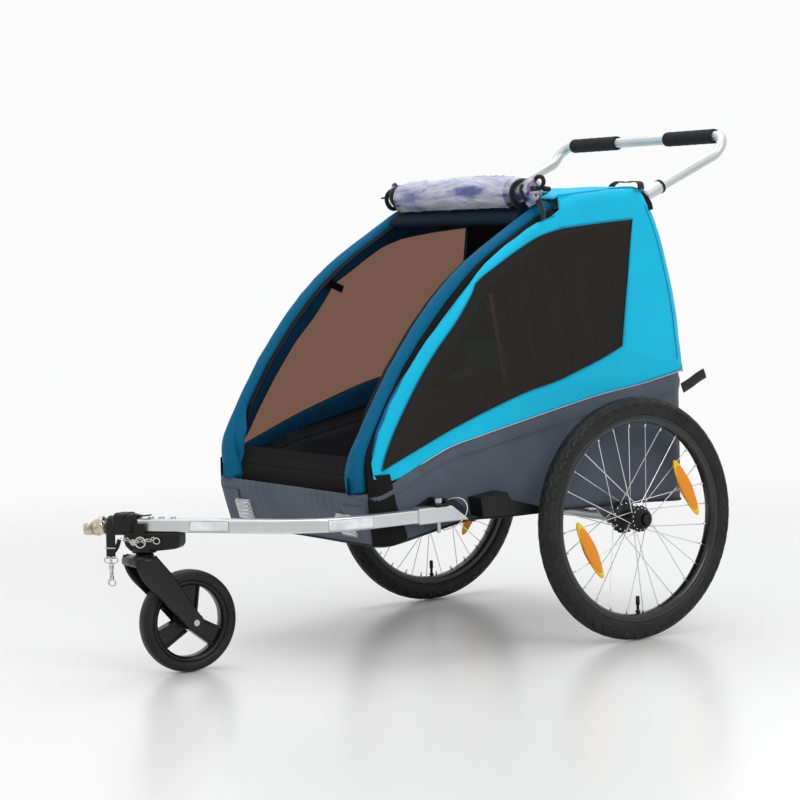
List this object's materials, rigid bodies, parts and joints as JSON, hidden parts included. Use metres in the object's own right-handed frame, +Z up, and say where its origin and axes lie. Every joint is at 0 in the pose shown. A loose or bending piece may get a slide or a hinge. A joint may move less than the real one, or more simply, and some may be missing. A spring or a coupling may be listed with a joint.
{
  "type": "child bicycle trailer",
  "caption": "Folding child bicycle trailer with fabric cabin, mesh front, spoked wheels, side tow arm, push handlebar and front caster wheel.",
  "frame": {"origin": "on the ground under the centre of the trailer's bounding box", "axes": "+Z up, -Y is the nose and the way it travels, +X the child's left side, where the tow arm is"},
  "size_m": [0.8, 1.391, 1.0415],
  "materials": {
    "frame_aluminium": "brushed and clear anodised",
    "black_plastic": "moulded, fine texture",
    "black_foam_rubber": "soft foam",
    "tyre_rubber": "moulded tread",
    "fabric_cyan": "coated woven polyester",
    "fabric_dark_blue": "ribbed woven sleeve",
    "fabric_grey": "coated woven polyester",
    "fabric_black": "woven polyester",
    "mesh_black": "open insect mesh",
    "window_vinyl": "smooth tinted sheet",
    "clear_vinyl": "clear crumpled sheet",
    "webbing_black": "woven webbing",
    "steel": "zinc plated",
    "spoke_steel": "bright drawn wire",
    "coupler_metal": "nickel over brass, cast",
    "rim_black": "satin black",
    "reflector_clear": "prismatic",
    "reflector_amber": "prismatic"
  },
  "bodies": {
    "chassis": {"floor_frame": "frame_aluminium", "axle_beam": "frame_aluminium", "axle_brackets": "frame_aluminium", "wheel_axles": "steel", "frame_hinge_brackets": "frame_aluminium", "frame_bolts": "steel", "fabric_tub": "fabric_grey", "seat_base": "fabric_black", "front_reflectors": "reflector_clear", "wheel_guards": "black_plastic", "rear_pull_tab": "webbing_black", "side_panel_left": "fabric_cyan", "side_panel_right": "fabric_cyan", "side_window_left": "window_vinyl", "side_window_right": "window_vinyl", "tow_arm_anchor": "black_plastic", "tow_arm_sleeve": "frame_aluminium", "tow_arm_tube": "frame_aluminium", "arm_bolts": "steel", "coupler": "coupler_metal", "caster_bracket": "black_plastic", "safety_strap": "webbing_black", "strap_hook": "steel", "arm_lanyard": "steel"},
    "uprights": {"upright_left": "frame_aluminium", "upright_right": "frame_aluminium", "low_crossbar": "frame_aluminium", "handlebar_tube": "frame_aluminium", "handlebar_sockets": "frame_aluminium", "grip_left": "black_foam_rubber", "grip_right": "black_foam_rubber", "seat_back": "fabric_black", "rear_panel": "fabric_cyan"},
    "roll_cage": {"roll_cage_hoop": "frame_aluminium", "cage_sleeve_left": "fabric_dark_blue", "cage_sleeve_right": "fabric_dark_blue", "roof_fabric": "fabric_cyan", "rain_cover_roll": "clear_vinyl", "roll_ties": "webbing_black", "front_mesh_cover": "mesh_black", "roof_carry_loops": "webbing_black"},
    "front_cover_hem": {"cover_hem": "fabric_black"},
    "left_wheel": {"tyre_left": "tyre_rubber", "rim_left": "rim_black", "spokes_left": "spoke_steel", "hub_left": "black_plastic", "spoke_reflectors_left": "reflector_amber"},
    "right_wheel": {"tyre_right": "tyre_rubber", "rim_right": "rim_black", "spokes_right": "spoke_steel", "hub_right": "black_plastic", "spoke_reflectors_right": "reflector_amber"},
    "left_hub_button": {"hub_button_left": "black_plastic"},
    "right_hub_button": {"hub_button_right": "black_plastic"},
    "arm_pin": {"tow_arm_pin": "steel"},
    "stem_pin": {"caster_pin": "steel"},
    "caster_fork_swivel": {"caster_fork": "black_plastic", "caster_axle": "steel"},
    "caster_wheel": {"caster_tyre": "tyre_rubber", "caster_core": "black_plastic"}
  },
  "joints": [
    {"name": "frame_fold", "type": "hinge", "parent": "chassis", "child": "uprights", "pos_m": [0, 0.50104, 0.44], "axis": [1, 0, 0], "range_deg": [0, 79], "deforming": ["side_panel_left", "side_panel_right", "side_window_left", "side_window_right", "rear_panel", "roof_fabric", "roof_carry_loops"]},
    {"name": "roll_cage_fold", "type": "hinge", "parent": "chassis", "child": "roll_cage", "pos_m": [0, -0.25296, 0.322], "axis": [1, 0, 0], "range_deg": [-30, 0]},
    {"name": "front_cover_roll", "type": "slide", "parent": "roll_cage", "child": "front_cover_hem", "axis": [0, 0.6377, 0.7703], "range_m": [0, 0.62], "deforming": ["front_mesh_cover"]},
    {"name": "left_wheel_spin", "type": "hinge", "parent": "chassis", "child": "left_wheel", "pos_m": [0.361, 0.33104, 0.248], "axis": [1, 0, 0], "continuous": true},
    {"name": "right_wheel_spin", "type": "hinge", "parent": "chassis", "child": "right_wheel", "pos_m": [-0.361, 0.33104, 0.248], "axis": [1, 0, 0], "continuous": true},
    {"name": "left_button_press", "type": "slide", "parent": "chassis", "child": "left_hub_button", "axis": [-1, 0, 0], "range_m": [0, 0.004], "stiffness_N_per_m": 600, "springref_m": -0.004},
    {"name": "right_button_press", "type": "slide", "parent": "chassis", "child": "right_hub_button", "axis": [1, 0, 0], "range_m": [0, 0.004], "stiffness_N_per_m": 600, "springref_m": -0.004},
    {"name": "arm_pin_pull", "type": "slide", "parent": "chassis", "child": "arm_pin", "axis": [0, 0, 1], "range_m": [0, 0.045]},
    {"name": "stem_pin_pull", "type": "slide", "parent": "chassis", "child": "stem_pin", "axis": [0.6157, -0.788, 0], "range_m": [0, 0.03]},
    {"name": "caster_swivel", "type": "hinge", "parent": "chassis", "child": "caster_fork_swivel", "pos_m": [0.018, -0.61296, 0.2], "axis": [0, 0, 1], "continuous": true, "deforming": ["safety_strap", "strap_hook"]},
    {"name": "caster_wheel_spin", "type": "hinge", "parent": "caster_fork_swivel", "child": "caster_wheel", "pos_m": [0.02331, -0.52613, 0.1], "axis": [0.9981, -0.061, 0], "continuous": true}
  ],
  "couplings": [
    {"joint": "roll_cage_fold", "follows": "frame_fold", "ratio": -0.3797}
  ]
}
